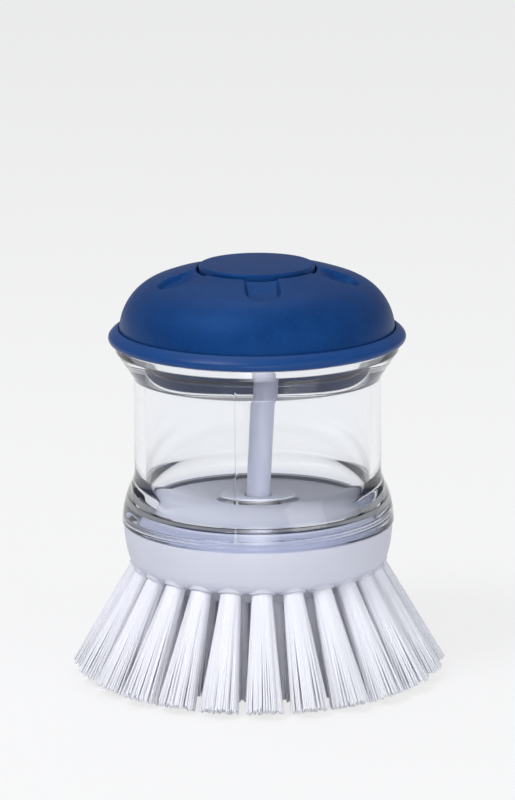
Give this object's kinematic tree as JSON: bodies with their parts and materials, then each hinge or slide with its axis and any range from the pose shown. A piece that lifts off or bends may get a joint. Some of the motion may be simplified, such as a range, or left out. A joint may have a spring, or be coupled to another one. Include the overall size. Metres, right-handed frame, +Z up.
{
  "type": "soap dispensing palm brush",
  "caption": "Round palm brush with a clear soap reservoir, a soft blue domed grip and a push button that opens a spring valve to feed soap to flared white bristle tufts.",
  "frame": {"origin": "centre of the plane of the bristle tips, on which the brush stands", "axes": "+Z up along the brush's axis, out through the button; -Y is the front seen in the picture"},
  "size_m": [0.0752, 0.0752, 0.0838],
  "materials": {
    "soft_grip": "satin soft elastomer",
    "cap_plastic": "moulded satin gloss",
    "clear_plastic": "polished clear moulding",
    "white_plastic": "moulded satin",
    "rod_plastic": "natural translucent moulding",
    "seal_silicone": "soft matte",
    "seal_rubber": "dark navy, soft matte",
    "spring_steel": "drawn wire",
    "bristle_nylon": "translucent filament"
  },
  "bodies": {
    "brush": {"brush_block": "white_plastic", "floor_plate": "white_plastic", "return_spring": "spring_steel", "tufts_outer": "bristle_nylon", "tufts_middle": "bristle_nylon", "tufts_inner": "bristle_nylon", "staples_outer": "spring_steel", "staples_middle": "spring_steel", "staples_inner": "spring_steel"},
    "seal": {"base_gasket": "seal_rubber"},
    "handle": {"reservoir": "clear_plastic", "cap_gasket": "seal_rubber", "cap_shell": "cap_plastic", "grip_cover": "soft_grip"},
    "button": {"button_disc": "soft_grip", "button_pusher": "white_plastic", "button_oring": "seal_rubber"},
    "valve": {"valve_stem": "white_plastic", "valve_plug": "seal_silicone", "push_rod": "rod_plastic"}
  },
  "joints": [
    {"name": "reservoir_lift", "type": "slide", "parent": "brush", "child": "seal", "axis": [0, 0, 1], "range_m": [0, 0.00451]},
    {"name": "reservoir_unscrew", "type": "hinge", "parent": "seal", "child": "handle", "pos_m": [0, 0, 0.035], "axis": [0, 0, 1], "range_deg": [0, 540]},
    {"name": "button_press", "type": "slide", "parent": "handle", "child": "button", "axis": [0, 0, -1], "range_m": [0, 0.003], "stiffness_N_per_m": 600, "springref_m": -0.004},
    {"name": "valve_open", "type": "slide", "parent": "brush", "child": "valve", "axis": [0, 0, -1], "range_m": [0, 0.003], "deforming": ["return_spring"]}
  ],
  "couplings": [
    {"joint": "reservoir_lift", "follows": "reservoir_unscrew", "m_per_rad": 0.00047746},
    {"joint": "valve_open", "follows": "button_press", "ratio": 1}
  ]
}
